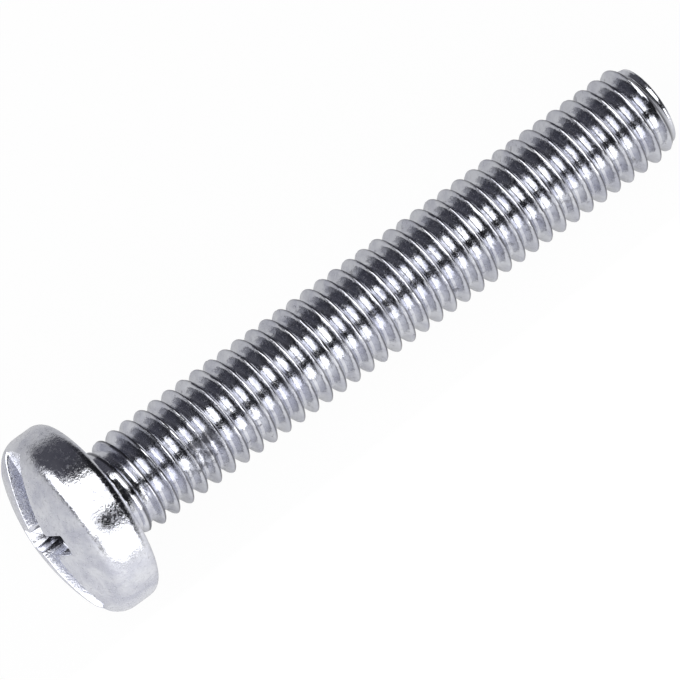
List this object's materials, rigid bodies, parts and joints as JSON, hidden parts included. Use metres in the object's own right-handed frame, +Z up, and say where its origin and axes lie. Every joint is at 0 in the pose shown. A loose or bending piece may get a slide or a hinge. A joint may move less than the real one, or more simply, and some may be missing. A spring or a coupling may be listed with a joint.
{
  "type": "machine screw",
  "caption": "Bright zinc plated pan head machine screw with a combined slot and cross recess, threaded up to the head, lying at rest.",
  "frame": {"origin": "on the surface that the screw lies on, under the middle of its box", "axes": "+Z up. The screw lies with its point towards +X and its crown towards -X, and +Y is across it. Its own axis runs down towards the point by 4.09 degrees, because the head is wider than the shank."},
  "size_m": [0.035, 0.0092, 0.0092],
  "materials": {
    "zinc_plated_steel": "bright zinc plating over cold-headed steel"
  },
  "bodies": {
    "root": {"machine_screw": "zinc_plated_steel"}
  },
  "joints": []
}
